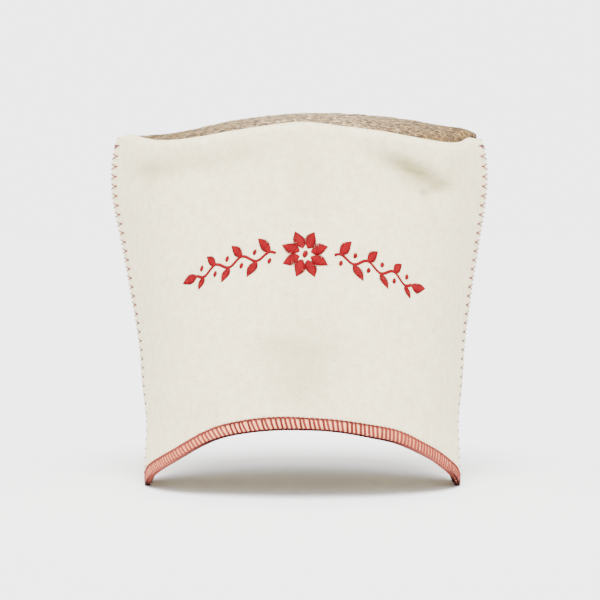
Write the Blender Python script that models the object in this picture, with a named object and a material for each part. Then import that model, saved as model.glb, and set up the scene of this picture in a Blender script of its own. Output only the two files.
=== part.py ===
"""A sewn felt cossack hat: a front and a back wall panel and a domed crown panel.

Metres, +Z up. The front of the hat faces -Y and its right side, as the viewer sees it, is +X.
The hat stands on the two ear lobes of its hem, with the origin on the floor under its middle.
"""

import math
from collections import namedtuple

import bmesh
import bpy

# Driving dimensions

FELT = 0.003  # thickness of the felt
GAP = 0.0003  # clearance between neighbouring panels
ROLL = 0.006  # outer radius of the turned top edge
CORNER_ROLL = 0.0035  # the same radius at the side seams
PINCH_REACH = 8  # the higher, the closer to the side seams the sections are drawn in
PRESS_HEIGHT = 0.004  # the lobes are pressed out of shape below this height
PRESS_DEPTH = 0.0029  # how far the pressing moves the lowest point
CROWN_POWER = 0.7  # below 1 the crown swells close to its edge
DENT_FADE = 0.35  # the dents fade out where the cosine of the turn is below this

SLOPE_STEP = 1.0  # degrees of turn to each side of a point, to find the way across the wall
TIP_HALVINGS = 30  # halvings of the turn, to find where the crown's two sides meet
SHARP_ANGLE = 40.0  # degrees between faces from which an edge is drawn sharp
TURN_STEPS = 48  # columns of a wall panel from seam to seam
ROLL_STEPS = (30, 60, 90)  # rows round the turned edge, in degrees
CROWN_RINGS = (1.0, 0.975, 0.90, 0.76, 0.58, 0.38, 0.18)  # rings of the crown, edge first

# Heights of the rows of a wall panel, as shares of the way from the hem to the turned edge
FRONT_ROWS = (0, 0.04, 0.10, 0.19, 0.29, 0.39, 0.49, 0.58, 0.66, 0.73, 0.79, 0.84, 0.88, 0.92, 0.96, 1)
BACK_ROWS = (0, 0.05, 0.13, 0.25, 0.38, 0.51, 0.63, 0.74, 0.83, 0.91, 1)

# The hat's cross-sections. Pinch shapes a section next to its side seams: at 1 it is an
# ellipse, and at 2 the two panels meet in a plain ridge. Lean is how far the section's middle
# lies to the right.

Section = namedtuple("Section", "height half_width half_depth pinch lean")
SECTIONS = (
    Section(0.000, 0.0984, 0.0920, 1.00, 0.0019),
    Section(0.020, 0.0980, 0.0919, 1.10, 0.0019),
    Section(0.040, 0.0977, 0.0916, 1.40, 0.0019),
    Section(0.060, 0.0999, 0.0905, 1.70, 0.0018),
    Section(0.090, 0.1021, 0.0880, 1.90, 0.0016),
    Section(0.120, 0.1065, 0.0845, 2.00, 0.0010),
    Section(0.150, 0.1115, 0.0805, 2.05, 0.0006),
    Section(0.175, 0.1159, 0.0775, 2.10, 0.0000),
    Section(0.190, 0.1171, 0.0762, 2.10, 0.0000),
    Section(0.203, 0.1164, 0.0758, 2.10, 0.0000),
    Section(0.212, 0.1149, 0.0756, 2.10, 0.0000),
    Section(0.222, 0.1135, 0.0755, 2.10, 0.0000),
)

# The top of the hat across its width: the height of the walls' turned edge, of the crown's
# edge seated inside it, and of the crown's crest, halfway between front and back.

Rim = namedtuple("Rim", "across edge seat crest")
RIMS = (
    Rim(-0.113, 0.2160, 0.2150, 0.2155),
    Rim(-0.108, 0.2178, 0.2163, 0.2170),
    Rim(-0.096, 0.2146, 0.2131, 0.2178),
    Rim(-0.086, 0.2106, 0.2091, 0.2183),
    Rim(-0.068, 0.2128, 0.2113, 0.2209),
    Rim(-0.043, 0.2170, 0.2155, 0.2264),
    Rim(-0.018, 0.2206, 0.2191, 0.2299),
    Rim(0.002, 0.2222, 0.2207, 0.2316),
    Rim(0.027, 0.2195, 0.2180, 0.2315),
    Rim(0.052, 0.2165, 0.2150, 0.2299),
    Rim(0.072, 0.2130, 0.2115, 0.2273),
    Rim(0.092, 0.2104, 0.2090, 0.2240),
    Rim(0.101, 0.2128, 0.2120, 0.2226),
    Rim(0.107, 0.2158, 0.2172, 0.2210),
    Rim(0.113, 0.2155, 0.2182, 0.2188),
)

# The arch of the hem. Share is the place across the hat, from -1 at the left seam to 1 at the
# right seam, and the same arch is cut in the front and the back.

Hem = namedtuple("Hem", "share height")
HEMS = (
    Hem(-1.00, 0.0000),
    Hem(-0.96, 0.0070),
    Hem(-0.90, 0.0128),
    Hem(-0.80, 0.0198),
    Hem(-0.60, 0.0325),
    Hem(-0.45, 0.0386),
    Hem(-0.20, 0.0421),
    Hem(0.00, 0.0426),
    Hem(0.20, 0.0413),
    Hem(0.45, 0.0363),
    Hem(0.60, 0.0320),
    Hem(0.80, 0.0214),
    Hem(0.90, 0.0133),
    Hem(0.96, 0.0072),
    Hem(1.00, 0.0000),
)

# Dents pressed into the front panel under its turned edge. Slant turns a dent's length up
# from level, towards the right.

Dent = namedtuple("Dent", "across height half_length half_width slant depth")
DENTS = (
    Dent(0.067, 0.193, 0.023, 0.0080, -28, 0.0048),
    Dent(0.078, 0.183, 0.011, 0.0075, -50, 0.0020),
    Dent(0.095, 0.192, 0.012, 0.0070, 50, 0.0022),
    Dent(-0.083, 0.199, 0.022, 0.0085, 3, 0.0032),
    Dent(-0.044, 0.204, 0.026, 0.0075, 9, 0.0013),
)

OUTER = 0.0
INNER = FELT


def read_curve(rows, key, column, place):
    """Read one column of a table on a smooth curve through its rows"""
    keys = [getattr(row, key) for row in rows]
    values = [getattr(row, column) for row in rows]
    place = min(max(place, keys[0]), keys[-1])
    low = 0
    while low < len(keys) - 2 and keys[low + 1] < place:
        low += 1
    slopes = []
    for index in (low, low + 1):
        before = max(index - 1, 0)
        after = min(index + 1, len(keys) - 1)
        slopes.append((values[after] - values[before]) / (keys[after] - keys[before]))
    span = keys[low + 1] - keys[low]
    t = (place - keys[low]) / span
    return (
        (2 * t**3 - 3 * t**2 + 1) * values[low]
        + (t**3 - 2 * t**2 + t) * span * slopes[0]
        + (3 * t**2 - 2 * t**3) * values[low + 1]
        + (t**3 - t**2) * span * slopes[1]
    )


def section_at(height):
    """The cross-section at a height"""
    columns = [read_curve(SECTIONS, "height", column, height) for column in Section._fields[1:]]
    return Section(height, *columns)


def hem_height(share):
    """Height of the hem, with the lobes pressed flat where they stand on the floor"""
    height = read_curve(HEMS, "share", "height", share)
    if height < PRESS_HEIGHT:
        height = max(0.0, height - PRESS_DEPTH * (1 - height / PRESS_HEIGHT))
    return height


def dent_depth(across, height, cosine):
    """How far the dents push the front panel in, fading out next to the seams"""
    total = 0.0
    for dent in DENTS:
        slant = math.radians(dent.slant)
        right = across - dent.across
        up = height - dent.height
        along = right * math.cos(slant) + up * math.sin(slant)
        over = up * math.cos(slant) - right * math.sin(slant)
        total += dent.depth * math.exp(-((along / dent.half_length) ** 2) - (over / dent.half_width) ** 2)
    return total * min(1.0, cosine / DENT_FADE)


def outline(turn, height, inset=0.0):
    """A point of the walls' outer face seen from above, or of that line moved in by inset.

    Turn is 0 at the middle of a panel and 90 or -90 degrees at its seams. The point's second
    value is its distance from the plane of the seams, less than 0 past that plane.
    """
    section = section_at(height)
    places = []
    for angle in (max(turn - SLOPE_STEP, -90), turn, min(turn + SLOPE_STEP, 90)):
        sine = math.sin(math.radians(angle))
        cosine = max(0.0, math.cos(math.radians(angle)))
        power = 1 + (section.pinch - 1) * abs(sine) ** PINCH_REACH
        depth = GAP / 2 + (section.half_depth - GAP / 2) * cosine**power
        places.append((section.lean + section.half_width * sine, depth))
    before, place, after = places
    run = after[0] - before[0]
    rise = after[1] - before[1]
    length = math.hypot(run, rise)
    return (place[0] + inset * rise / length, place[1] - inset * run / length)


def roll_radius(sine):
    """Outer radius of the turned top edge, where sine is 0 at the middle and 1 at a seam"""
    return ROLL + (CORNER_ROLL - ROLL) * abs(sine) ** PINCH_REACH


def wall_point(side, turn, row, roll, face, dented):
    """A point of a wall panel. Side is -1 in front and 1 behind, and face is the depth in the felt."""
    sine = math.sin(math.radians(turn))
    top = SECTIONS[-1]
    bend = math.radians(roll)
    radius = roll_radius(sine)
    inset = radius - (radius - face) * math.cos(bend)
    lift = (radius - face) * math.sin(bend)
    low = hem_height(sine)
    high = read_curve(RIMS, "across", "edge", top.half_width * sine) - radius
    height = low + row * (high - low) + lift
    x, depth = outline(turn, height, inset)
    if dented:
        depth -= dent_depth(x, height, math.cos(math.radians(turn)))
    return (x, side * max(depth, GAP / 2), height)


def wall_grid(side, rows, face, dented):
    """Rows of points over one face of a wall panel, hem first"""
    turns = [-90.0 + 180.0 * step / TURN_STEPS for step in range(TURN_STEPS + 1)]
    places = [(row, 0) for row in rows] + [(1, roll) for roll in ROLL_STEPS]
    return [[wall_point(side, turn, row, roll, face, dented) for turn in turns] for row, roll in places]


def add_object(name, body, material):
    """Turn a closed bmesh into a smooth-shaded object with one material"""
    bmesh.ops.recalc_face_normals(body, faces=body.faces)
    mesh = bpy.data.meshes.new(name)
    body.to_mesh(mesh)
    body.free()
    mesh.shade_smooth()
    mesh.set_sharp_from_angle(angle=math.radians(SHARP_ANGLE))
    mesh.materials.append(material)
    piece = bpy.data.objects.new(name, mesh)
    bpy.context.scene.collection.objects.link(piece)
    return piece


def add_wall_panel(name, side, rows, dented, material):
    """A wall panel: two faces of felt joined round the hem, the seams and the turned edge"""
    body = bmesh.new()
    faces = []
    for face in (OUTER, INNER):
        grid = wall_grid(side, rows, face, dented)
        faces.append([[body.verts.new(point) for point in line] for line in grid])
    outer, inner = faces
    last_row = len(outer) - 1
    last_column = len(outer[0]) - 1
    for sheet in faces:
        for row in range(last_row):
            for column in range(last_column):
                body.faces.new((
                    sheet[row][column],
                    sheet[row][column + 1],
                    sheet[row + 1][column + 1],
                    sheet[row + 1][column],
                ))
    for row in (0, last_row):
        for column in range(last_column):
            body.faces.new((
                outer[row][column],
                outer[row][column + 1],
                inner[row][column + 1],
                inner[row][column],
            ))
    for column in (0, last_column):
        for row in range(last_row):
            body.faces.new((
                outer[row][column],
                outer[row + 1][column],
                inner[row + 1][column],
                inner[row][column],
            ))
    return add_object(name, body, material)


def crown_outline():
    """The crown's edge seen from above: a loop of points from its left tip round the front"""
    def edge_point(turn):
        inset = roll_radius(math.sin(math.radians(turn))) + GAP
        return outline(turn, SECTIONS[-1].height, inset)

    inside, outside = 0.0, 90.0
    for _ in range(TIP_HALVINGS):
        middle = (inside + outside) / 2
        if edge_point(middle)[1] > 0:
            inside = middle
        else:
            outside = middle
    half = [edge_point(inside * (2 * step / TURN_STEPS - 1)) for step in range(TURN_STEPS + 1)]
    front = [(x, -depth) for x, depth in half[:-1]]
    back = [(x, depth) for x, depth in reversed(half[1:])]
    return front + back


def crown_height(x, y, loop):
    """Height of the crown's upper face at a place seen from above"""
    edge_y = 0.0
    for (x_start, y_start), (x_end, y_end) in zip(loop, loop[1:]):
        if x_start <= x <= x_end:
            edge_y = abs(y_start + (y_end - y_start) * (x - x_start) / (x_end - x_start))
            break
    swell = 1 - min(1.0, abs(y) / edge_y) ** 2 if edge_y > GAP else 0.0
    seat = read_curve(RIMS, "across", "seat", x)
    crest = read_curve(RIMS, "across", "crest", x)
    return seat + max(0.0, crest - seat) * swell**CROWN_POWER


def add_crown_panel(name, material):
    """The crown: rings of one outline drawn in to a point, a felt's thickness deep"""
    body = bmesh.new()
    loop = crown_outline()
    faces = []
    poles = []
    for drop in (0.0, FELT):
        rings = []
        for share in CROWN_RINGS:
            places = [(share * x, share * y) for x, y in loop]
            rings.append([body.verts.new((x, y, crown_height(x, y, loop) - drop)) for x, y in places])
        faces.append(rings)
        poles.append(body.verts.new((0, 0, crown_height(0, 0, loop) - drop)))
    count = len(loop)
    for rings, pole in zip(faces, poles):
        for wide, narrow in zip(rings, rings[1:]):
            for step in range(count):
                after = (step + 1) % count
                body.faces.new((wide[step], wide[after], narrow[after], narrow[step]))
        for step in range(count):
            body.faces.new((rings[-1][step], rings[-1][(step + 1) % count], pole))
    upper, lower = faces
    for step in range(count):
        after = (step + 1) % count
        body.faces.new((upper[0][step], upper[0][after], lower[0][after], lower[0][step]))
    return add_object(name, body, material)


def felt_material(name, colour, roughness):
    """A plain felt colour, given as linear red, green and blue"""
    material = bpy.data.materials.new(name)
    material.use_nodes = True
    shader = material.node_tree.nodes["Principled BSDF"]
    shader.inputs["Base Color"].default_value = (*colour, 1.0)
    shader.inputs["Roughness"].default_value = roughness
    shader.inputs["Metallic"].default_value = 0.0
    material.diffuse_color = (*colour, 1.0)
    return material


def main():
    for piece in list(bpy.data.objects):
        bpy.data.objects.remove(piece)
    white_felt = felt_material("white_felt", (0.79, 0.75, 0.67), 0.95)
    grey_felt = felt_material("grey_brown_felt", (0.55, 0.44, 0.33), 0.95)
    add_wall_panel("front_panel", -1, FRONT_ROWS, True, white_felt)
    add_wall_panel("back_panel", 1, BACK_ROWS, False, white_felt)
    add_crown_panel("crown_panel", grey_felt)


main()
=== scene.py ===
"""The looks of a sewn felt cossack hat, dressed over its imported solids.

Metres, +Z up. The front of the hat faces -Y and its right side, as the viewer sees it, is +X.
The wall panels, the crown and every stitch are worked out from the same sections as the solids.
"""

import math
from collections import namedtuple

import bmesh
import bpy
import numpy as np
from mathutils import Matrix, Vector


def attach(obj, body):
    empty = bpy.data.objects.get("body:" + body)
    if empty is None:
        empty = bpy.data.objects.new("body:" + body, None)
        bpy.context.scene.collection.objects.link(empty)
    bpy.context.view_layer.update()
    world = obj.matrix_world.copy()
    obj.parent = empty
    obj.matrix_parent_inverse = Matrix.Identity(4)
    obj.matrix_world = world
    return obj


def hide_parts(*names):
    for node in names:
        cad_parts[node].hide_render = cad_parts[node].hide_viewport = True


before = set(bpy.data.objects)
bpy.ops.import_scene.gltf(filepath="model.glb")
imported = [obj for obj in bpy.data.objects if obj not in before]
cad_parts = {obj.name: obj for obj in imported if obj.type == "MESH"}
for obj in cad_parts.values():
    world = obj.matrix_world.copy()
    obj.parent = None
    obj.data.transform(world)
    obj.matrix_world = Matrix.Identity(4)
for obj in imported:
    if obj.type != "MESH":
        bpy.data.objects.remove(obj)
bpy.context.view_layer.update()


def table(columns, *rows):
    """A short table whose columns have names"""
    named_row = namedtuple("Row", columns)
    return tuple(named_row(*row) for row in rows)


# The felt and how it is turned and joined, as in the solids

FELT = 0.003  # thickness of the felt
GAP = 0.0003  # clearance between neighbouring panels
ROLL = 0.006  # outer radius of the turned top edge
CORNER_ROLL = 0.0035  # the same radius at the side seams
PINCH_REACH = 8  # the higher, the closer to the side seams the sections are drawn in
PRESS_HEIGHT = 0.004  # the lobes are pressed out of shape below this height
PRESS_DEPTH = 0.0029  # how far the pressing moves the lowest point
PRESS_ROUND = 0.0095  # the hem bends gently over this far to each side of the pressed part's ends
CROWN_POWER = 0.7  # below 1 the crown swells close to its edge
DENT_FADE = 0.35  # dents and waves fade out where the cosine of the turn is below this
SLOPE_STEP = 1.0  # degrees of turn to each side of a point, to find the way across the wall
FRONT = -1
BACK = 1

SECTIONS = table(
    "height half_width half_depth pinch lean",
    (0.000, 0.0984, 0.0920, 1.00, 0.0019),
    (0.020, 0.0980, 0.0919, 1.10, 0.0019),
    (0.040, 0.0977, 0.0916, 1.40, 0.0019),
    (0.060, 0.0999, 0.0905, 1.70, 0.0018),
    (0.090, 0.1021, 0.0880, 1.90, 0.0016),
    (0.120, 0.1065, 0.0845, 2.00, 0.0010),
    (0.150, 0.1115, 0.0805, 2.05, 0.0006),
    (0.175, 0.1159, 0.0775, 2.10, 0.0000),
    (0.190, 0.1171, 0.0762, 2.10, 0.0000),
    (0.203, 0.1164, 0.0758, 2.10, 0.0000),
    (0.212, 0.1149, 0.0756, 2.10, 0.0000),
    (0.222, 0.1135, 0.0755, 2.10, 0.0000),
)

RIMS = table(
    "across edge seat crest",
    (-0.113, 0.2166, 0.2150, 0.2155),
    (-0.108, 0.2180, 0.2163, 0.2170),
    (-0.096, 0.2145, 0.2130, 0.2172),
    (-0.086, 0.2128, 0.2110, 0.2178),
    (-0.068, 0.2134, 0.2116, 0.2203),
    (-0.043, 0.2170, 0.2155, 0.2257),
    (-0.018, 0.2206, 0.2191, 0.2291),
    (0.002, 0.2224, 0.2207, 0.2306),
    (0.027, 0.2199, 0.2180, 0.2305),
    (0.052, 0.2171, 0.2156, 0.2289),
    (0.072, 0.2139, 0.2122, 0.2262),
    (0.092, 0.2118, 0.2099, 0.2231),
    (0.101, 0.2128, 0.2120, 0.2226),
    (0.107, 0.2158, 0.2172, 0.2210),
    (0.113, 0.2155, 0.2182, 0.2188),
)

HEMS = table(
    "share height",
    (-1.00, 0.0000),
    (-0.96, 0.0070),
    (-0.90, 0.0128),
    (-0.80, 0.0198),
    (-0.60, 0.0323),
    (-0.45, 0.0380),
    (-0.20, 0.0421),
    (0.00, 0.0426),
    (0.20, 0.0413),
    (0.45, 0.0363),
    (0.60, 0.0320),
    (0.80, 0.0214),
    (0.90, 0.0133),
    (0.96, 0.0072),
    (1.00, 0.0000),
)

# A dent's amount is its depth. A spot's amount is how far it darkens the felt: the spots high on either
# side, in and round the dents, are painted shade; those down the middle and low on the left only darken the
# felt there

SPOT = "across height half_length half_width slant amount"
DENTS = table(
    SPOT,
    (0.067, 0.193, 0.023, 0.0080, -28, 0.0048),
    (0.078, 0.183, 0.011, 0.0075, -50, 0.0020),
    (0.095, 0.192, 0.012, 0.0070, 50, 0.0022),
    (-0.083, 0.199, 0.022, 0.0085, 3, 0.0032),
    (-0.044, 0.204, 0.026, 0.0075, 9, 0.0013),
    (0.066, 0.1945, 0.014, 0.0042, -24, 0.0019),
)
PAINTED_SHADE_AND_DARK_SPOTS = table(
    SPOT,
    (0.0682, 0.1941, 0.0135, 0.0042, -23, 0.68),
    (0.0692, 0.1934, 0.0220, 0.0075, -22, 0.42),
    (0.0855, 0.1868, 0.0085, 0.0038, -15, 0.34),
    (0.0810, 0.1838, 0.0085, 0.0026, 15, 0.50),
    (0.0738, 0.1814, 0.0055, 0.0018, -50, 0.50),
    (0.0660, 0.1855, 0.0120, 0.0050, -20, 0.22),
    (0.0550, 0.1992, 0.0090, 0.0050, -30, 0.18),
    (0.0450, 0.2040, 0.0120, 0.0045, -27, 0.26),
    (0.0975, 0.1960, 0.0080, 0.0100, 0, 0.16),
    (-0.0890, 0.1955, 0.0120, 0.0055, 0, 0.44),
    (-0.0660, 0.1975, 0.0280, 0.0060, 5, 0.42),
    (-0.0900, 0.1860, 0.0040, 0.0080, 0, 0.26),
    (-0.0340, 0.2040, 0.0200, 0.0050, 9, 0.24),
    (0.0020, 0.0880, 0.0280, 0.0130, 0, 0.34),
    (-0.0150, 0.0925, 0.0120, 0.0045, 0, 0.16),
    (0.0010, 0.0670, 0.0190, 0.0150, 0, 0.36),
    (0.0030, 0.1860, 0.0110, 0.0240, 0, 0.22),
    (0.0020, 0.1110, 0.0180, 0.0190, 0, 0.14),
    (-0.0500, 0.0560, 0.0180, 0.0070, 20, 0.14),
)

# Slow waves of hand-laid felt: how many run across and up a metre, and how high they stand

WAVE = "across up phase swell"
FELT_WAVES = table(
    WAVE,
    (17, 9, 0.4, 0.00016),
    (-11, 23, 1.9, 0.00013),
    (31, -14, 3.1, 0.00009),
    (6, 38, 4.4, 0.00008),
    (44, 29, 5.2, 0.00005),
)

# The overlocked hem

OVERLOCK_HEIGHT = 0.0076  # from the hem's edge up to the needle line, before the band is drawn in
OVERLOCK_PITCH = 0.0027  # from one stitch to the next
OVERLOCK_SLANT = 0.0017  # how far a thread runs on to the right on its way down
OVERLOCK_THREAD = 0.00155  # width of the looper thread, which lies flat
NEEDLE_THREAD = 0.00092  # thickness of the thread along the needle line
NEEDLE_LEAN = 0.00025  # each needle stitch starts this much too low and ends this much too high
EDGE_THREAD = 0.00105  # thickness of the loops locked along the edge
HEM_SQUEEZE = 0.0004  # how far the threads draw the felt's edge up
FACE_SQUEEZE = 0.0005  # how far they press in each of its faces at the edge
SQUEEZE_REACH = 0.0042  # the faces are pressed in up to here from the edge
PUFF = 0.00045  # how far the felt stands up between two threads
PUFF_FADE = 4  # the puffs fade out over the top quarter of the band
EDGE_INSET = 0.0007  # the loops along the edge lie this far inside each face
EDGE_LIFT = 0.0006  # and this far above the edge
EDGE_TIP = 0.8  # and lean down by this share of the way out

BANDS = table(
    "share height",
    (-1.00, 0.0074),
    (-0.94, 0.0066),
    (-0.85, 0.0061),
    (-0.65, 0.0062),
    (-0.35, 0.0072),
    (-0.12, 0.0073),
    (0.12, 0.0067),
    (0.35, 0.0070),
    (0.52, 0.0074),
    (0.75, 0.0062),
    (1.00, 0.0060),
)

# The side seams

ZIGZAG_REACH = 0.0050  # from the seam to the point of a zigzag
ZIGZAG_STEM = 0.0015  # the short stitch that locks each point
TACK_THREAD = 0.00045
SEAM_SINK = 0.00025  # the thread bites this far into the felt where it crosses the seam
SEAM_LOW = 0.0095  # height of the lowest zigzag
TACK_HEIGHT = 0.2110  # a bar tack of close stitches locks the zigzag at the top
TACK_REACH = 0.0028  # from the seam to the end of the bar
TACK_STITCHES = 4
TACK_STEP = 0.0004
SEAM_ROUND = 0.0003  # rounding of the felt's edges along the seams
CROWN_ROUND = 0.0009  # rounding of the felt's edges round the crown
SEAM_TURNS = np.linspace(90, 60, 601)  # degrees, a line from the seam round the wall

# The zigzag is sewn more openly near the top, where its thread is looser; further down the
# thread is pulled thin between points that are drawn up into knots

ZIGZAGS = table(
    "height pitch thread knot",
    (0.000, 0.0056, 0.00032, 0.00072),
    (0.060, 0.0056, 0.00032, 0.00078),
    (0.100, 0.0056, 0.00042, 0.00116),
    (0.150, 0.0056, 0.00044, 0.00120),
    (0.175, 0.0058, 0.00046, 0.00110),
    (0.190, 0.0061, 0.00050, 0.00092),
    (0.215, 0.0066, 0.00050, 0.00080),
)

# How the points of the felt lie: rows from the hem up, and the crown's rings from its edge in

FINE_COUNT = 3601  # points of the hem's line
EVEN_COUNT = 4001  # points evenly along the hem, to round its bends
COLUMNS_PER_STITCH = 5  # points along the hem for each stitch
EDGE_BENDS = (80, 50, 25, 0)  # degrees round the hem's edge
# How far each row of the hem's band lies up from the edge
BAND_RISES = (0.0028, 0.0038, 0.0048, 0.0058, 0.0067, 0.0073, 0.0078, 0.0088, 0.0104)
WALL_ROWS = 44  # from the band up to the turned edge
ROLL_BENDS = range(9, 91, 9)  # degrees round the turned edge
CROWN_COLUMNS = 288
CROWN_RINGS = 44
RING_POWER = 1.5  # above 1 the rings lie closer together near the edge
ABOVE = 0.001  # a point this far above the felt gives the way out of it
BESIDE = 0.0004  # points this far off give the ways along the hem and up from it

# The crown

CROWN_SETTLE = 0.006  # its waves fade out this close to its edge
TIP_START = 0.098  # from here to the right the crown droops over the turned edge
TIP_SWELL = 0.0022
TIP_DROOP = 0.0021
CROWN_WAVES = table(
    WAVE,
    (26, 41, 0.3, 0.00022),
    (-38, 33, 2.2, 0.00016),
    (61, -24, 4.0, 0.00010),
    (12, 88, 5.5, 0.00012),
)

# The ornament: a rosette with a vine to each side, in satin stitch, on an arc across the front

SATIN_THREAD = 0.00044
SATIN_STEP = 0.00034
SATIN_LEAN = 78  # degrees, as the needle moves on a little at each pass
ORNAMENT_BASE = 0.135  # the height at which distances across are measured
ORNAMENT_MIDDLE = 0.0035
BASE_REACH = 85  # degrees of turn to each side
BASE_COUNT = 801
EYE_SIZE = 0.0030
DOT_END = 0.1  # where a round spot starts and ends, the square of its width's share
PETALS = 8
PETAL_START = 0.0036  # from the middle of the rosette
PETAL_LENGTH = 0.0104
PETAL_WIDTH = 0.0040
VINE_START = 0.0170
VINE_END = 0.0665
VINE_WIDTH = 0.0011
VINE_SWING = 0.0021
VINE_POINTS = 160
LEAF_START = 0.0200
LEAF_PITCH = 0.0084
LEAF_COUNT = 6
LEAF_ANGLE = 52
LEAF_LENGTH = 0.0108
LEAF_WIDTH = 0.0034
LEAF_TAPER = 0.0007  # each leaf is this much shorter than the one before
LEAF_TIP = 0.0005  # width at both ends
LEAF_BELLY = 0.85  # below 1 a leaf is widest nearer to its foot
LEAF_POINT = 1.1  # the higher, the more slender the ends
BERRY_SIZE = 0.0023
BERRY_REACH = 0.0052  # from the vine to the middle of a berry
BERRY_SHIFT = 0.0008  # a berry sits this far outwards of its leaf's foot

ARCS = table(
    "across height",
    (-0.075, 0.1262),
    (-0.055, 0.1345),
    (-0.030, 0.1418),
    (0.000, 0.1448),
    (0.030, 0.1412),
    (0.055, 0.1330),
    (0.075, 0.1236),
)

# Threads and loose fibres, as the bends along each one

THREAD_SIDES = 6
FIBRE_SIDES = 3
FIBRE_LEAST = 0.5  # size of the smallest fibre, as a share of the table's
FIBRE_MOST = 1.3  # and of the largest
FIBRE_TILT = 0.08  # radians, how far a fibre tips to either side
FIBRE_LIFT = 0.06  # radians, how far its end is lifted
LOOP_FLAT = 0.5  # height of the looper thread as a share of its width
LOOP_TAPER = 0.7  # share of its width where it dives into the felt

BEND = "x y z radius"
# The plain stitch, a unit long, comes up out of the felt, lies on it and goes down again
PLAIN_STITCH = table(
    BEND,
    (0.00, 0.0, -0.70, 0.30),
    (0.06, 0.0, 0.15, 0.44),
    (0.28, 0.0, 0.55, 0.50),
    (0.72, 0.0, 0.55, 0.50),
    (0.94, 0.0, 0.15, 0.44),
    (1.00, 0.0, -0.70, 0.30),
)
FINE_FIBRE = table(
    BEND,
    (-0.0016, 0.0, -0.0001, 0.00002),
    (-0.0006, 0.0003, 0.00008, 0.00003),
    (0.0006, 0.0001, 0.00012, 0.00003),
    (0.0018, -0.0004, 0.00020, 0.00001),
)
COARSE_FIBRE = table(
    BEND,
    (-0.0026, 0.0, -0.0001, 0.00004),
    (-0.0009, 0.0004, 0.00010, 0.00008),
    (0.0010, 0.0002, 0.00014, 0.00008),
    (0.0030, -0.0005, 0.00018, 0.00003),
)

# Where a thread's colour changes, between two distances along one axis, and to which colour. On the hem's
# threads these changes are painted light and shade

FADING = "axis start end worn"
# The loopers and needle line are painted lighter towards the lobes, where the band turns to the light:
# painted light. Within about 4 mm of the floor they are painted darker: painted shadow.
OVERLOCK_PAINTED_LIGHT_AND_SHADE = table(FADING, ("X", 0.038, 0.066, "#803A32"), ("Z", 0.0042, 0.0016, "#3A1416"))
# The edge loops are painted dark as shade under the hem's edge, less dark towards the lobes, and dark again
# at the tips as painted shadow
EDGE_PAINTED_SHADE = table(FADING, ("X", 0.054, 0.082, "#8E4C42"), ("X", 0.089, 0.095, "#2A0A0C"))
# Down the zigzag the thread darkens to a brown, and to a greyer brown lower still
ZIGZAG_FADINGS = table(FADING, ("Z", 0.186, 0.158, "#66282A"), ("Z", 0.125, 0.095, "#5C3A38"))

# Both felts are matt, with a faint sheen of loose fibre

FELT_FINISH = {"Roughness": 0.95, "Specular IOR Level": 0.1, "Sheen Weight": 0.1, "Sheen Roughness": 0.6}

# The room

FLOOR_HALF = 30.0
FLOOR_DROP = 0.0001  # the floor lies this far below the lobes
ROOM_LIGHT = 1.3  # how strongly the room lights the hat
ROOM_SEEN = 4.1  # how bright it looks

PANELS = table(
    "name way energy spread",
    ("overhead_panel", (0.02, 0.52, -0.86), 10.8, 32),
    ("left_panel", (0.85, 0.35, -0.30), 2.2, 60),
    ("right_panel", (-0.85, 0.35, -0.30), 2.4, 60),
)


def read_curve(rows, column, places):
    """Read a table's column on a smooth curve through its rows, by the rows' first column"""
    keys = np.array([row[0] for row in rows])
    values = np.array([getattr(row, column) for row in rows])
    places = np.clip(places, keys[0], keys[-1])
    low = np.clip(np.searchsorted(keys, places) - 1, 0, len(keys) - 2)
    slopes = np.empty(len(keys))
    slopes[1:-1] = (values[2:] - values[:-2]) / (keys[2:] - keys[:-2])
    slopes[0] = (values[1] - values[0]) / (keys[1] - keys[0])
    slopes[-1] = (values[-1] - values[-2]) / (keys[-1] - keys[-2])
    span = keys[low + 1] - keys[low]
    t = (places - keys[low]) / span
    return (
        (2 * t**3 - 3 * t**2 + 1) * values[low]
        + (t**3 - 2 * t**2 + t) * span * slopes[low]
        + (3 * t**2 - 2 * t**3) * values[low + 1]
        + (t**3 - t**2) * span * slopes[low + 1]
    )


def hem_height(share):
    """Height of the hem, with the lobes pressed flat where they stand on the floor"""
    height = read_curve(HEMS, "height", share)
    pressed = np.maximum(0.0, height - PRESS_DEPTH * (1 - height / PRESS_HEIGHT))
    return np.where(height < PRESS_HEIGHT, pressed, height)


def spread(spots, across, height):
    """The amounts of soft-edged spots at places on the front panel, added up"""
    total = 0.0
    for spot in spots:
        slant = math.radians(spot.slant)
        right = across - spot.across
        up = height - spot.height
        along = right * math.cos(slant) + up * math.sin(slant)
        over = up * math.cos(slant) - right * math.sin(slant)
        fade = (along / spot.half_length) ** 2 + (over / spot.half_width) ** 2
        total = total + spot.amount * np.exp(-fade)
    return total


def ripple(waves, across, up, shift=0.0):
    """How far the slow waves lift the felt at places across and up it"""
    return sum(
        wave.swell * np.sin(2 * math.pi * (wave.across * across + wave.up * up) + wave.phase + shift)
        for wave in waves
    )


def outline(turn, height, inset):
    """Points of the walls seen from above, inset from the outer face, as (across, depth)"""
    turn, height, inset = np.broadcast_arrays(turn, height, inset)
    half_width, half_depth, pinch, lean = (
        read_curve(SECTIONS, column, height) for column in ("half_width", "half_depth", "pinch", "lean")
    )

    def place(angle):
        sine = np.sin(np.radians(angle))
        cosine = np.maximum(0.0, np.cos(np.radians(angle)))
        power = 1 + (pinch - 1) * np.abs(sine) ** PINCH_REACH
        return lean + half_width * sine, GAP / 2 + (half_depth - GAP / 2) * cosine**power

    x_before, depth_before = place(np.maximum(turn - SLOPE_STEP, -90))
    x_after, depth_after = place(np.minimum(turn + SLOPE_STEP, 90))
    x, depth = place(turn)
    run = x_after - x_before
    rise = depth_after - depth_before
    length = np.hypot(run, rise)
    return x + inset * rise / length, depth - inset * run / length


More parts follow.
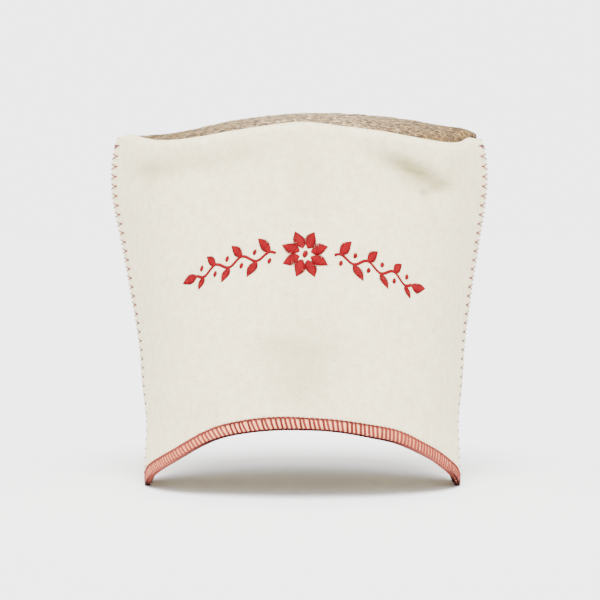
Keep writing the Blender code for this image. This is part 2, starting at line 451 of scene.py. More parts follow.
def roll_radius(sine):
    """Outer radius of the turned top edge, where sine is 0 at the middle and 1 at a seam"""
    return ROLL + (CORNER_ROLL - ROLL) * np.abs(sine) ** PINCH_REACH


def wall_points(side, turn, height, inset):
    """Points of a wall panel, inset from its outer face or, below 0, standing above it"""
    x, depth = outline(turn, height, inset)
    fade = np.minimum(1.0, np.cos(np.radians(turn)) / DENT_FADE)
    depth = depth + ripple(FELT_WAVES, x, height, side) * fade
    if side == FRONT:
        depth = depth - spread(DENTS, x, height) * fade
    x, depth, height = np.broadcast_arrays(x, np.maximum(depth, GAP / 2), height)
    return np.stack((x, side * depth, height), axis=-1)


def unit(rows):
    """Vectors of length 1"""
    return rows / np.linalg.norm(rows, axis=-1, keepdims=True)


def face_spots(side, turn, height):
    """Points of a wall panel's outer face, and the ways out of the felt there"""
    spots = wall_points(side, turn, height, 0.0)
    return spots, unit(wall_points(side, turn, height, -ABOVE) - spots)


def path_lengths(points, axis=0):
    """The way along lines of points, from where they start to each point"""
    lengths = np.cumsum(np.linalg.norm(np.diff(points, axis=axis), axis=-1), axis=axis)
    return np.insert(lengths, 0, 0.0, axis=axis)


# The hem's line, worked out finely once: place along it, turn, height and tilt

fine_turn = np.linspace(-90, 90, FINE_COUNT)
fine_hem = hem_height(np.sin(np.radians(fine_turn)))
fine_along = path_lengths(np.stack(outline(fine_turn, fine_hem, 0.0), axis=1))
HEM_LENGTH = fine_along[-1]
even_along = np.linspace(0, HEM_LENGTH, EVEN_COUNT)
reach = round(PRESS_ROUND / even_along[1])
window = np.hanning(2 * reach + 1)
even_hem = np.pad(np.interp(even_along, fine_along, fine_hem), reach, mode="reflect")
even_hem = np.convolve(even_hem, window / window.sum(), mode="valid")
fine_hem = np.interp(fine_along, even_along, even_hem)
fine_tilt = np.arctan(np.gradient(fine_hem, fine_along))
fine_narrow = read_curve(BANDS, "height", np.sin(np.radians(fine_turn))) / OVERLOCK_HEIGHT
STITCH_COUNT = round(HEM_LENGTH / OVERLOCK_PITCH)
STITCH_PITCH = HEM_LENGTH / STITCH_COUNT


def hem_band(along, rise):
    """The turn and height of places in the hem's band, measured along the hem and up from it"""
    rise = rise * np.interp(along, fine_along, fine_narrow)
    tilt = np.interp(along, fine_along, fine_tilt)
    height = np.interp(along, fine_along, fine_hem) + np.cos(tilt) * rise
    turn = np.interp(along - np.sin(tilt) * rise, fine_along, fine_turn)
    return turn, height


def puff_height(along, rise):
    """How far the felt stands up between the overlock threads"""
    step = (along - OVERLOCK_SLANT * (1 - rise / OVERLOCK_HEIGHT)) / STITCH_PITCH
    between = np.sin(math.pi * step) ** 2
    up = np.clip(1 - rise / OVERLOCK_HEIGHT, 0, 1)
    return PUFF * between * np.minimum(1.0, PUFF_FADE * up)


def squeeze(rise):
    """How far the overlock threads press in each face of the felt"""
    return FACE_SQUEEZE * np.clip(1 - rise / SQUEEZE_REACH, 0, 1)


def wall_grids(side):
    """The outer and inner face of a wall panel as grids of points, and how far each row is up the hem"""
    alongs = np.linspace(0, HEM_LENGTH, STITCH_COUNT * COLUMNS_PER_STITCH + 1)
    turns = np.interp(alongs, fine_along, fine_turn)
    sine = np.sin(np.radians(turns))
    radius = roll_radius(sine)
    top = read_curve(RIMS, "edge", SECTIONS[-1].half_width * sine)
    half = FELT / 2
    swings = [math.radians(bend) for bend in EDGE_BENDS] + [0.0] * len(BAND_RISES)
    rises = [HEM_SQUEEZE + half - half * math.sin(math.radians(bend)) for bend in EDGE_BENDS]
    rises += BAND_RISES
    grids = []
    for face in (0.0, FELT):
        out = 1 if face else -1
        rows = []
        for swing, rise in zip(swings, rises):
            turn, height = hem_band(alongs, rise)
            stand = (half - squeeze(rise) + puff_height(alongs, rise)) * math.cos(swing)
            rows.append(wall_points(side, turn, height, half + out * stand))
        shift = turn - turns
        low = height
        for share in np.linspace(0, 1, WALL_ROWS + 1)[1:]:
            level = low + share * (top - radius - low)
            rows.append(wall_points(side, turns + shift * (1 - share) ** 2, level, face))
        for bend in ROLL_BENDS:
            swing = math.radians(bend)
            inset = radius - (radius - face) * math.cos(swing)
            level = top - radius + (radius - face) * math.sin(swing)
            rows.append(wall_points(side, turns, level, inset))
        grids.append(np.array(rows))
    outer, inner = grids
    round_ends(outer, inner)
    rises += [rises[-1]] * (len(outer) - len(rises))
    return outer, inner, rises


def round_ends(outer, inner):
    """Round off the felt's outer edge along both seams and along the turned edge"""
    into = inner - outer
    into /= np.maximum(np.linalg.norm(into, axis=2, keepdims=True), 1e-9)
    from_left = path_lengths(outer, axis=1)
    from_seam = np.minimum(from_left, from_left[:, -1:] - from_left)
    from_hem = path_lengths(outer)
    from_crown = from_hem[-1:] - from_hem
    for distance, corner in ((from_seam, SEAM_ROUND), (from_crown, CROWN_ROUND)):
        near = np.clip(1 - distance / corner, 0, 1)
        outer += into * (corner * (1 - np.sqrt(1 - near**2)))[..., None]


def add_object(name, data):
    """An object linked into the scene"""
    piece = bpy.data.objects.new(name, data)
    bpy.context.scene.collection.objects.link(piece)
    return piece


def mark_points(mesh, label, values):
    """Store a number or a vector for each point of a mesh"""
    values = np.asarray(values, np.float32)
    kind, part = ("FLOAT_VECTOR", "vector") if values.ndim == 2 else ("FLOAT", "value")
    mesh.attributes.new(label, kind, "POINT").data.foreach_set(part, values.ravel())


def face_outwards(mesh):
    """Turn the faces of a closed mesh outwards, and shade them smooth"""
    body = bmesh.new()
    body.from_mesh(mesh)
    bmesh.ops.recalc_face_normals(body, faces=body.faces)
    if body.calc_volume(signed=True) < 0:
        bmesh.ops.reverse_faces(body, faces=body.faces)
    body.to_mesh(mesh)
    body.free()
    mesh.shade_smooth()


def sheet_mesh(name, outer, inner, closed):
    """One closed mesh from the two faces of a sheet of felt, given as grids of points.

    Closed grids run all the way round and end in one point, so they have only an outer border.
    """
    rows, columns = outer.shape[:2]
    count = rows * columns
    index = np.arange(count).reshape(rows, columns)
    if closed:
        index = np.concatenate((index, index[:, :1]), axis=1)

    def quads(grid):
        corners = (grid[:-1, :-1], grid[:-1, 1:], grid[1:, 1:], grid[1:, :-1])
        return np.stack(corners, axis=-1).reshape(-1, 4)

    faces = [quads(index), quads(index + count)[:, ::-1]]
    borders = [index[0]] if closed else [index[0], index[-1], index[:, 0], index[:, -1]]
    faces += [quads(np.stack((border, border + count))) for border in borders]
    faces = np.concatenate(faces).tolist()
    points = np.concatenate((outer.reshape(-1, 3), inner.reshape(-1, 3))).tolist()
    if closed:
        for start, drop in ((0, outer), (count, inner)):
            ring = (index[-1] + start).tolist()
            faces += [(a, b, len(points)) for a, b in zip(ring[:-1], ring[1:])]
            points.append(drop[-1].mean(axis=0).tolist())
    mesh = bpy.data.meshes.new(name)
    mesh.from_pydata(points, [], faces)
    mark_points(mesh, "outside", np.arange(len(points)) < count)
    return mesh


def felt_object(mesh, material):
    """A felt piece from its mesh, its faces turned outwards"""
    face_outwards(mesh)
    mesh.materials.append(material)
    return add_object(mesh.name, mesh)


def wall_panel(name, side, material):
    """A wall panel with its band of puffed felt and its rounded edges"""
    outer, inner, rises = wall_grids(side)
    mesh = sheet_mesh(name, outer, inner, closed=False)
    mark_points(mesh, "hem_rise", np.tile(np.repeat(rises, outer.shape[1]), 2))
    # On the front: painted shade in and round the dents, and a few darker spots, as shares of a grey-green
    # tint
    dust = np.zeros(outer.shape[:2])
    if side == FRONT:
        dust = np.clip(spread(PAINTED_SHADE_AND_DARK_SPOTS, outer[..., 0], outer[..., 2]), 0, 1)
    mark_points(mesh, "dust", np.concatenate((dust.ravel(), np.zeros(dust.size))))
    return felt_object(mesh, material)


def crown_edge():
    """The crown's edge seen from above, front half then back half, tip to tip"""
    turns = np.linspace(-90, 90, 2 * FINE_COUNT - 1)
    inset = roll_radius(np.sin(np.radians(turns))) + GAP
    x, depth = outline(turns, SECTIONS[-1].height, inset)
    inside = depth > 0
    x, depth = x[inside], depth[inside]
    length = path_lengths(np.stack((x, depth), axis=1))
    places = np.linspace(0, length[-1], CROWN_COLUMNS // 2 + 1)
    x = np.interp(places, length, x)
    depth = np.interp(places, length, depth)
    depth[0] = 0.0
    depth[-1] = 0.0
    x = np.concatenate((x[:-1], x[:0:-1]))
    y = np.concatenate((-depth[:-1], depth[:0:-1]))
    return x, y


def crown_grids():
    """The upper and lower face of the crown as rings of points, edge first"""
    edge_x, edge_y = crown_edge()
    half = CROWN_COLUMNS // 2 + 1
    front_x, front_y = edge_x[:half], -edge_y[:half]
    upper = []
    lower = []
    for ring in range(CROWN_RINGS):
        share = 1 - (ring / CROWN_RINGS) ** RING_POWER
        x = edge_x * share
        y = edge_y * share
        reach = np.interp(x, front_x, front_y)
        swell = 1 - np.minimum(1.0, np.abs(y) / np.maximum(reach, GAP)) ** 2
        swell = np.where(reach > GAP, np.maximum(swell, 0.0), 0.0)
        seat = read_curve(RIMS, "seat", x)
        crest = read_curve(RIMS, "crest", x)
        height = seat + np.maximum(0.0, crest - seat) * swell**CROWN_POWER
        from_edge = np.hypot(edge_x, edge_y) * (1 - share)
        height = height + ripple(CROWN_WAVES, x, y) * np.clip(from_edge / CROWN_SETTLE, 0, 1)
        near = np.clip(1 - from_edge / CROWN_ROUND, 0, 1)
        drop = CROWN_ROUND * (1 - np.sqrt(1 - near**2))
        tip = np.clip((x - TIP_START) / (edge_x.max() - TIP_START), 0, 1) ** 2
        over = x + TIP_SWELL * tip
        drop = drop + TIP_DROOP * tip
        upper.append(np.stack((over, y, height - drop), axis=-1))
        lower.append(np.stack((x, y, height - FELT), axis=-1))
    return np.array(upper), np.array(lower)


def colour(code):
    """An sRGB hex colour as linear red, green, blue and alpha"""
    parts = [int(code[i : i + 2], 16) / 255 for i in (1, 3, 5)]
    linear = [part / 12.92 if part <= 0.04045 else ((part + 0.055) / 1.055) ** 2.4 for part in parts]
    return (*linear, 1.0)


def set_inputs(tree, node, inputs):
    """Set or link a node's inputs by name or number, where a node stands for its first output in use"""
    for name, value in inputs.items():
        if isinstance(value, bpy.types.Node):
            value = next(output for output in value.outputs if output.enabled)
        if isinstance(value, bpy.types.NodeSocket):
            tree.links.new(value, node.inputs[name])
        else:
            node.inputs[name].default_value = value


def add_node(tree, kind, inputs=None, stops=(), **settings):
    """Add a node with its settings and inputs and, for a colour ramp, its places and hex colours"""
    node = tree.nodes.new(kind)
    for name, value in settings.items():
        setattr(node, name, value)
    set_inputs(tree, node, inputs or {})
    if stops:
        elements = node.color_ramp.elements
        while len(elements) < len(stops):
            elements.new(0.5)
        for element, (place, code) in zip(elements, stops):
            element.position = place
            element.color = colour(code)
    return node


def new_material(name):
    """A material with only a Principled BSDF and its output, and its tree"""
    material = bpy.data.materials.new(name)
    material.use_nodes = True
    return material, material.node_tree, material.node_tree.nodes["Principled BSDF"]


def distance_share(tree, axis, start, end, middle=0.0, most=1.0):
    """A share that grows from 0 to most between two distances from the middle, along one axis"""
    place = add_node(tree, "ShaderNodeTexCoord").outputs["Object"]
    parts = add_node(tree, "ShaderNodeSeparateXYZ", {"Vector": place})
    aside = add_node(tree, "ShaderNodeMath", {0: parts.outputs[axis], 1: middle}, operation="SUBTRACT")
    far = add_node(tree, "ShaderNodeMath", {0: aside}, operation="ABSOLUTE")
    ends = {"Value": far, "From Min": start, "From Max": end, "To Max": most}
    return add_node(tree, "ShaderNodeMapRange", ends)


def finish_surface(tree, shader, face, relief, strength, depth, finish):
    """Give a surface its colour, its fine relief, and how rough and shiny it is"""
    bump = add_node(tree, "ShaderNodeBump", {"Height": relief, "Strength": strength, "Distance": depth})
    set_inputs(tree, shader, {"Base Color": face, "Normal": bump, **finish})


def wool_felt():
    """White wool felt, wet-felted and pressed: a matt, slightly mottled cream face of fine crossing
    fibres, softly fuzzy at grazing angles, with the hollows between its tufts painted darker as shade.
    In the hem's band it is tinted red, as red lint and painted red reflection from the threads. On its
    front, painted shade darkens the felt in and round the dents, and a few spots lower down and down
    the middle are darker."""
    material, tree, shader = new_material("pressed_white_wool_felt")
    place = add_node(tree, "ShaderNodeTexCoord").outputs["Object"]
    # Cloudy patches about 5 mm across, from how thickly the wool was laid
    clouds = add_node(tree, "ShaderNodeTexNoise", {"Vector": place, "Scale": 190.0, "Detail": 4.0})
    # Fibres are 0.02 mm thick, too fine to show, so their tufts are drawn 0.9 mm across
    grain = {"Vector": place, "Scale": 1100.0, "Detail": 4.0, "Distortion": 0.6}
    tufts = add_node(tree, "ShaderNodeTexNoise", grain)
    creams = ((0.30, "#DCD0A8"), (0.52, "#E4D9B3"), (0.72, "#EBE1C1"))
    base = add_node(tree, "ShaderNodeValToRGB", {"Fac": clouds}, creams)
    # The hollows between the tufts are painted darker: painted shade in the felt's fine relief
    hollow_shade = ((0.28, "#CFC4A4"), (0.50, "#FFFFFF"), (0.72, "#FFFFFF"))
    painted_tuft_shade = add_node(tree, "ShaderNodeValToRGB", {"Fac": tufts}, hollow_shade)
    layers = {"Factor": 0.55, "A": base, "B": painted_tuft_shade}
    face = add_node(tree, "ShaderNodeMix", layers, data_type="RGBA", blend_type="MULTIPLY")
    # Painted shade in and round the dents, and a few darker spots lower down and down the middle
    dust = add_node(tree, "ShaderNodeAttribute", attribute_name="dust").outputs["Fac"]
    # The band's red tint is lint and painted red reflection from the threads; it is deeper near the lobes,
    # where the stitches crowd
    lobe = distance_share(tree, "X", 0.036, 0.066)
    reds = {"Factor": lobe, "A": colour("#EA9B6E"), "B": colour("#CB7048")}
    red = add_node(tree, "ShaderNodeMix", reds, data_type="RGBA")
    rise = add_node(tree, "ShaderNodeAttribute", attribute_name="hem_rise").outputs["Fac"]
    band = {"Value": rise, "From Min": 0.0072, "From Max": 0.0079, "To Min": 0.95, "To Max": 0.0}
    lint_and_red_reflection = add_node(tree, "ShaderNodeMapRange", band)
    for share, tint in ((dust, colour("#999067")), (lint_and_red_reflection, red)):
        face = add_node(tree, "ShaderNodeMix", {"Factor": share, "A": face, "B": tint}, data_type="RGBA")
    finish_surface(tree, shader, face, tufts, 0.55, 0.00035, FELT_FINISH)
    return material


def coarse_felt():
    """Undyed grey-brown felt of coarse wool, carded along the crown's length, so light and dark
    kemp fibres lie in short streaks from side to side. Towards both ends it is painted darker, which
    leaves the middle lighter: painted sheen of the fuzz seen at a grazing angle."""
    material, tree, shader = new_material("coarse_undyed_wool_felt")
    place = add_node(tree, "ShaderNodeTexCoord").outputs["Object"]
    # Streaks are about 2 mm wide and 4 mm long, and kemp fibres lie in tufts of 2 by 2.5 mm
    drawn, laid = (
        add_node(tree, "ShaderNodeMapping", {"Vector": place, "Scale": scale})
        for scale in ((250.0, 500.0, 500.0), (400.0, 500.0, 500.0))
    )
    streaks, kemp = (
        add_node(
            tree, "ShaderNodeTexNoise", {"Vector": wool, "Scale": 1.0, "Detail": detail, "Distortion": twist}
        )
        for wool, detail, twist in ((drawn, 4.0, 0.7), (laid, 2.0, 0.4))
    )
    browns = ((0.32, "#3C2916"), (0.42, "#5F482F"), (0.54, "#836A4A"), (0.66, "#A68C65"), (0.76, "#CBB286"))
    face = add_node(tree, "ShaderNodeValToRGB", {"Fac": streaks}, browns)
    for start, end, share, code in ((0.545, 0.605, 0.95, "#1C1006"), (0.435, 0.36, 0.62, "#DEC89E")):
        limits = {"Value": kemp, "From Min": start, "From Max": end, "To Max": share}
        amount = add_node(tree, "ShaderNodeMapRange", limits)
        fibres = {"Factor": amount, "A": face, "B": colour(code)}
        face = add_node(tree, "ShaderNodeMix", fibres, data_type="RGBA")
    # The ends are painted darker, so the middle looks lighter as painted sheen, brightest 6 mm to the right
    # of the middle
    ends = distance_share(tree, "X", 0.015, 0.078, middle=0.006, most=0.95)
    layers = {"Factor": ends, "A": face, "B": colour("#BDA868")}
    face = add_node(tree, "ShaderNodeMix", layers, data_type="RGBA", blend_type="MULTIPLY")
    finish_surface(tree, shader, face, streaks, 0.8, 0.0007, FELT_FINISH)
    return material


def sewing_thread(name, dark, light, roughness, turns, fadings=()):
    """Spun polyester thread: two plies twisted together, which gives fine slanting ridges, painted
    darker in the grooves between them as shade, and a soft shine along the thread. A thread's colour
    may change to another between two distances along one axis, and further on perhaps to a third;
    on the hem's threads these changes are painted light and shade."""
    material, tree, shader = new_material(name)
    spot = add_node(tree, "ShaderNodeUVMap", uv_map="thread")
    along, about, _ = add_node(tree, "ShaderNodeSeparateXYZ", {"Vector": spot}).outputs
    twist = add_node(tree, "ShaderNodeMath", {0: along, 1: turns, 2: about}, operation="MULTIPLY_ADD")
    ply = add_node(tree, "ShaderNodeMath", {0: twist, 1: 1.0}, operation="PINGPONG")
    shade = add_node(tree, "ShaderNodeAttribute", attribute_name="shade").outputs["Fac"]
    mixed = add_node(tree, "ShaderNodeMath", {0: shade, 1: 0.6}, operation="MULTIPLY")
    both = add_node(tree, "ShaderNodeMath", {0: ply, 1: 0.4, 2: mixed}, operation="MULTIPLY_ADD")
    # Each stitch takes a random tone; the twist is painted darker in the grooves between the plies and
    # lighter on their ridges: painted shade and light
    face = add_node(tree, "ShaderNodeValToRGB", {"Fac": both}, ((0.1, dark), (0.9, light)))
    for fading in fadings:
        # Each change blends towards its colour; on the hem's threads this is painted light and shade
        worn = distance_share(tree, fading.axis, fading.start, fading.end)
        layers = {"Factor": worn, "A": face, "B": colour(fading.worn)}
        face = add_node(tree, "ShaderNodeMix", layers, data_type="RGBA")
    finish = {"Roughness": roughness, "Specular IOR Level": 0.08}
    finish_surface(tree, shader, face, ply, 0.5, 0.00005, finish)
    return material


def wool_fibre(name, dark, light):
    """Single wool fibres standing off the felt, each one shade from dark to light"""
    material, tree, shader = new_material(name)
    shade = add_node(tree, "ShaderNodeAttribute", attribute_name="shade").outputs["Fac"]
    face = add_node(tree, "ShaderNodeValToRGB", {"Fac": shade}, ((0.0, dark), (1.0, light)))
    set_inputs(tree, shader, {"Base Color": face, "Roughness": 0.8})
    return material


def tube_pattern(name, bends, sides, flat=1.0):
    """A thread along its bends, its ends closed, as high as the share flat of its width.

    Its map runs along it and round it. Geometry Nodes repeat it, and it is taken away at the end.
    """
    path = np.array([bend[:3] for bend in bends])
    ahead = unit(np.gradient(path, axis=0))
    level = np.array((0.0, 0.0, 1.0)) if abs(ahead[0, 2]) < 0.9 else np.array((1.0, 0.0, 0.0))
    points = []
    for spot, way, bend in zip(path, ahead, bends):
        level = unit(level - way * level.dot(way))
        beside = np.cross(way, level)
        for step in range(sides):
            angle = 2 * math.pi * step / sides
            rim = flat * level * math.cos(angle) + beside * math.sin(angle)
            points.append(tuple(spot + bend.radius * rim))
    faces = []
    for near in range(0, len(points) - sides, sides):
        far = near + sides
        for step in range(sides):
            after = (step + 1) % sides
            faces.append((near + step, far + step, far + after, near + after))
    faces.append(tuple(range(sides)))
    faces.append(tuple(reversed(range(len(points) - sides, len(points)))))
    mesh = bpy.data.meshes.new(name)
    mesh.from_pydata(points, [], faces)
    layer = mesh.uv_layers.new(name="thread")
    for polygon in mesh.polygons:
        steps = [vertex % sides for vertex in polygon.vertices]
        seam = len(steps) == 4 and max(steps) - min(steps) == sides - 1
        for loop, vertex, step in zip(polygon.loop_indices, polygon.vertices, steps):
            step = sides if seam and step == 0 else step
            layer.data[loop].uv = ((vertex // sides) / (len(path) - 1), step / sides)
    face_outwards(mesh)
    return add_object(name, mesh)


def overlock_stitch():
    """One looper thread: from the needle line down the face, round the edge and up the inside"""
    reach = OVERLOCK_SLANT
    # How far each spot is along the hem, up from its edge, and out of the felt
    spots = (
        (0.0, OVERLOCK_HEIGHT, -0.0004),
        (0.04 * reach, OVERLOCK_HEIGHT - 0.0003, 0.00018),
        (0.45 * reach, 0.55 * OVERLOCK_HEIGHT, 0.00026),
        (0.90 * reach, 0.0014, -0.00008),
        (reach, 0.0004, -0.0008),
        (reach, 0.00028, -0.0015),
        (reach, 0.0004, -0.0022),
        (reach + 0.0001, 0.0014, -0.00286),
        (reach + 0.0004, 0.55 * OVERLOCK_HEIGHT, -0.00322),
        (STITCH_PITCH, OVERLOCK_HEIGHT - 0.0003, -0.00312),
        (STITCH_PITCH, OVERLOCK_HEIGHT, -0.0026),
    )
    radius = OVERLOCK_THREAD / 2
    ends = (spots[0], spots[-1])
    bends = ((*spot, radius * LOOP_TAPER if spot in ends else radius) for spot in spots)
    return tube_pattern("overlock_stitch", table(BEND, *bends), THREAD_SIDES, LOOP_FLAT)


def new_tree(name, inputs, result):
    """A Geometry Nodes tree with its inputs, by name and kind, and the sockets that give them"""
    tree = bpy.data.node_groups.new(name, "GeometryNodeTree")
    for label, kind in inputs.items():
        tree.interface.new_socket(name=label, in_out="INPUT", socket_type="NodeSocket" + kind)
    tree.interface.new_socket(name=result, in_out="OUTPUT", socket_type="NodeSocketGeometry")
    return tree, add_node(tree, "NodeGroupInput").outputs


def lay_pattern(tree, given, places, pattern, turn, size, swing):
    """Lay a pattern at each place, give each one its shade, make them real, and set the material"""
    shape = add_node(tree, "GeometryNodeObjectInfo", {"Object": given[pattern]}).outputs["Geometry"]
    laying = {"Points": places, "Instance": shape, "Rotation": turn, "Scale": size}
    laid = add_node(tree, "GeometryNodeInstanceOnPoints", laying)
    swung = add_node(tree, "GeometryNodeRotateInstances", {"Instances": laid, "Rotation": swing})
    limits = {"Min": 0.0, "Max": 1.0, "Seed": given["Seed"]}
    shade = add_node(tree, "FunctionNodeRandomValue", limits, data_type="FLOAT")
    shading = {"Geometry": swung, "Name": "shade", "Value": shade}
    shaded = add_node(
        tree, "GeometryNodeStoreNamedAttribute", shading, data_type="FLOAT", domain="INSTANCE"
    )
    real = add_node(tree, "GeometryNodeRealizeInstances", {"Geometry": shaded})
    painted = add_node(tree, "GeometryNodeSetMaterial", {"Geometry": real, "Material": given["Thread"]})
    add_node(tree, "NodeGroupOutput", {0: painted})


def sewing_tree():
    """Lay one stitch at each point, along its run and standing out of the felt"""
    inputs = {"Places": "Geometry", "Stitch": "Object", "Thread": "Material"}
    inputs |= {"Stray": "Float", "Seed": "Int"}
    tree, given = new_tree("sew_stitches", inputs, "Sewn")
    run, out, size = (
        add_node(tree, "GeometryNodeInputNamedAttribute", {"Name": label}, data_type="FLOAT_VECTOR")
        for label in ("run", "out", "size")
    )
    axes = {"Primary Axis": run, "Secondary Axis": out}
    turn = add_node(tree, "FunctionNodeAxesToRotation", axes, primary_axis="X", secondary_axis="Z")
    less = add_node(tree, "ShaderNodeMath", {0: given["Stray"], 1: -1.0}, operation="MULTIPLY")
    limits = {"Min": less, "Max": given["Stray"], "Seed": given["Seed"]}
    stray = add_node(tree, "FunctionNodeRandomValue", limits, data_type="FLOAT")
    swing = add_node(tree, "ShaderNodeCombineXYZ", {"Z": stray})
    lay_pattern(tree, given, given["Places"], "Stitch", turn, size, swing)
    return tree


def fuzz_tree():
    """Scatter fibres over the outside of a felt piece, lying near a given way across it"""
    inputs = {"Felt": "Geometry", "Fibre": "Object", "Thread": "Material"}
    inputs |= {"Fibres per square metre": "Float", "Spread": "Float", "Seed": "Int"}
    tree, given = new_tree("felt_fuzz", inputs, "Fuzz")
    seed = given["Seed"]
    density = given["Fibres per square metre"]
    outside = add_node(tree, "GeometryNodeInputNamedAttribute", {"Name": "outside"}, data_type="FLOAT")
    chosen = add_node(tree, "FunctionNodeCompare", {"A": outside, "B": 0.5}, operation="GREATER_THAN")
    scatter = {"Mesh": given["Felt"], "Selection": chosen, "Density": density, "Seed": seed}
    spots = add_node(tree, "GeometryNodeDistributePointsOnFaces", scatter)
    axes = {"Primary Axis": spots.outputs["Normal"], "Secondary Axis": (1.0, 0.0, 0.0)}
    turn = add_node(tree, "FunctionNodeAxesToRotation", axes, primary_axis="Z", secondary_axis="X")
    limits = {"Min": FIBRE_LEAST, "Max": FIBRE_MOST, "Seed": seed}
    size = add_node(tree, "FunctionNodeRandomValue", limits, data_type="FLOAT")
    less = add_node(tree, "ShaderNodeMath", {0: given["Spread"], 1: -1.0}, operation="MULTIPLY")
    most = add_node(tree, "ShaderNodeCombineXYZ", {"X": FIBRE_TILT, "Y": 0.0, "Z": given["Spread"]})
    least = add_node(tree, "ShaderNodeCombineXYZ", {"X": -FIBRE_TILT, "Y": -FIBRE_LIFT, "Z": less})
    limits = {"Min": least, "Max": most, "Seed": seed}
    spin = add_node(tree, "FunctionNodeRandomValue", limits, data_type="FLOAT_VECTOR")
    lay_pattern(tree, given, spots, "Fibre", turn, size, spin)
    return tree


def grow(name, base, tree, values):
    """Run a Geometry Nodes tree on a mesh and keep the result as a plain mesh above the floor"""
    holder = add_object(name + "_base", base)
    modifier = holder.modifiers.new("grow", "NODES")
    modifier.node_group = tree
    sockets = {item.name: item.identifier for item in tree.interface.items_tree if item.in_out == "INPUT"}
    for label, value in values.items():
        modifier[sockets[label]] = value
    graph = bpy.context.evaluated_depsgraph_get()
    mesh = bpy.data.meshes.new_from_object(holder.evaluated_get(graph), depsgraph=graph)
    mesh.name = name
    bpy.data.objects.remove(holder)
    points = np.zeros(len(mesh.vertices) * 3, np.float32)
    mesh.vertices.foreach_get("co", points)
    points[2::3] = np.maximum(points[2::3], 0.0)
    mesh.vertices.foreach_set("co", points)
    mesh.update()
    return add_object(name, mesh)


def sew(name, starts, runs, outs, sizes, pattern, thread, stray, seed):
    """Sew stitches from starts along runs, each one straying a little to a side"""
    mesh = bpy.data.meshes.new(name + "_places")
    mesh.from_pydata(starts.tolist(), [], [])
    for label, rows in (("run", runs), ("out", outs), ("size", sizes)):
        mark_points(mesh, label, rows)
    return grow(name, mesh, sewing, {"Stitch": pattern, "Thread": thread, "Stray": stray, "Seed": seed})


def sew_straight(name, ends, outs, thickness, thread, stray, seed):
    """Sew plain stitches between pairs of points"""
    starts = np.array([start for start, end in ends])
    runs = np.array([end for start, end in ends]) - starts
    lengths = np.linalg.norm(runs, axis=1)
    thick = np.broadcast_to(thickness, lengths.shape)
    sizes = np.stack((lengths, thick, thick), axis=1)
    return sew(name, starts, runs, outs, sizes, stitch, thread, stray, seed)


def hem_frame(side, along, rise, inset):
    """Points of the hem's band with the ways along it and out of it"""

    def band(along, rise, inset):
        return wall_points(side, *hem_band(along, rise), inset)

    here = band(along, rise, inset)
    ahead = band(np.minimum(along + BESIDE, HEM_LENGTH), rise, inset)
    behind = band(np.maximum(along - BESIDE, 0), rise, inset)
    run = unit(ahead - behind)
    up = unit(band(along, rise + BESIDE, inset) - here)
    out = unit(np.cross(run, up))
    outside = band(along, rise, inset - BESIDE) - here
    return here, run, out * np.sign(np.sum(out * outside, axis=1))[:, None]


def hem_row(side, pitch, rise, inset, lean, tip):
    """Ends of a row of stitches along the hem on both faces of the felt, and their ways out"""
    marks = np.arange(round(HEM_LENGTH / pitch) + 1) * pitch
    ends = []
    outs = []
    for place, way in ((inset, 1), (FELT - inset, -1)):
        spots, _, ways = hem_frame(side, marks, rise, place)
        ends += zip(spots[:-1] - (0, 0, lean), spots[1:] + (0, 0, lean))
        outs += list(way * ways[:-1] - (0, 0, tip))
    return ends, outs


def overlocked_hem(side, label):
    """The overlock threads of one panel's hem: loopers, needle line and locked edge"""
    places = (np.arange(STITCH_COUNT) + 0.5) * STITCH_PITCH - OVERLOCK_SLANT / 2
    places = places if side == FRONT else HEM_LENGTH - places
    foot, run, out = hem_frame(side, places, 0.0, 0.0)
    run = run if side == FRONT else -run
    sizes = np.ones((STITCH_COUNT, 3))
    sizes[:, 1] = np.interp(places, fine_along, fine_narrow)
    name = f"{label}_hem_loopers"
    loopers = sew(name, foot, run, out, sizes, looper, overlock_thread, stray=0.08, seed=3)
    row = hem_row(side, STITCH_PITCH, OVERLOCK_HEIGHT, 0.0, NEEDLE_LEAN, 0.0)
    name = f"{label}_hem_needle_line"
    needle = sew_straight(name, *row, NEEDLE_THREAD, overlock_thread, stray=0.03, seed=5)
    row = hem_row(side, STITCH_PITCH / 2, EDGE_LIFT, EDGE_INSET, 0.0, EDGE_TIP)
    name = f"{label}_hem_edge_loops"
    edge = sew_straight(name, *row, EDGE_THREAD, edge_thread, stray=0.08, seed=7)
    return [loopers, needle, edge]


def seam_spot(side, end, height, reach):
    """A point of a wall panel at a distance from its seam, and the way out of the felt there"""
    turns = end * SEAM_TURNS
    lengths = path_lengths(wall_points(side, turns, height, 0.0))
    spots, outs = face_spots(side, np.interp([reach], lengths, turns), height)
    return spots[0], outs[0]


def seam_ridge(end, height):
    """A point on the seam itself, a little inside the felt"""
    ridge, _ = seam_spot(FRONT, end, height, 0.0)
    return ridge + np.array((-end * SEAM_SINK, -ridge[1], 0))


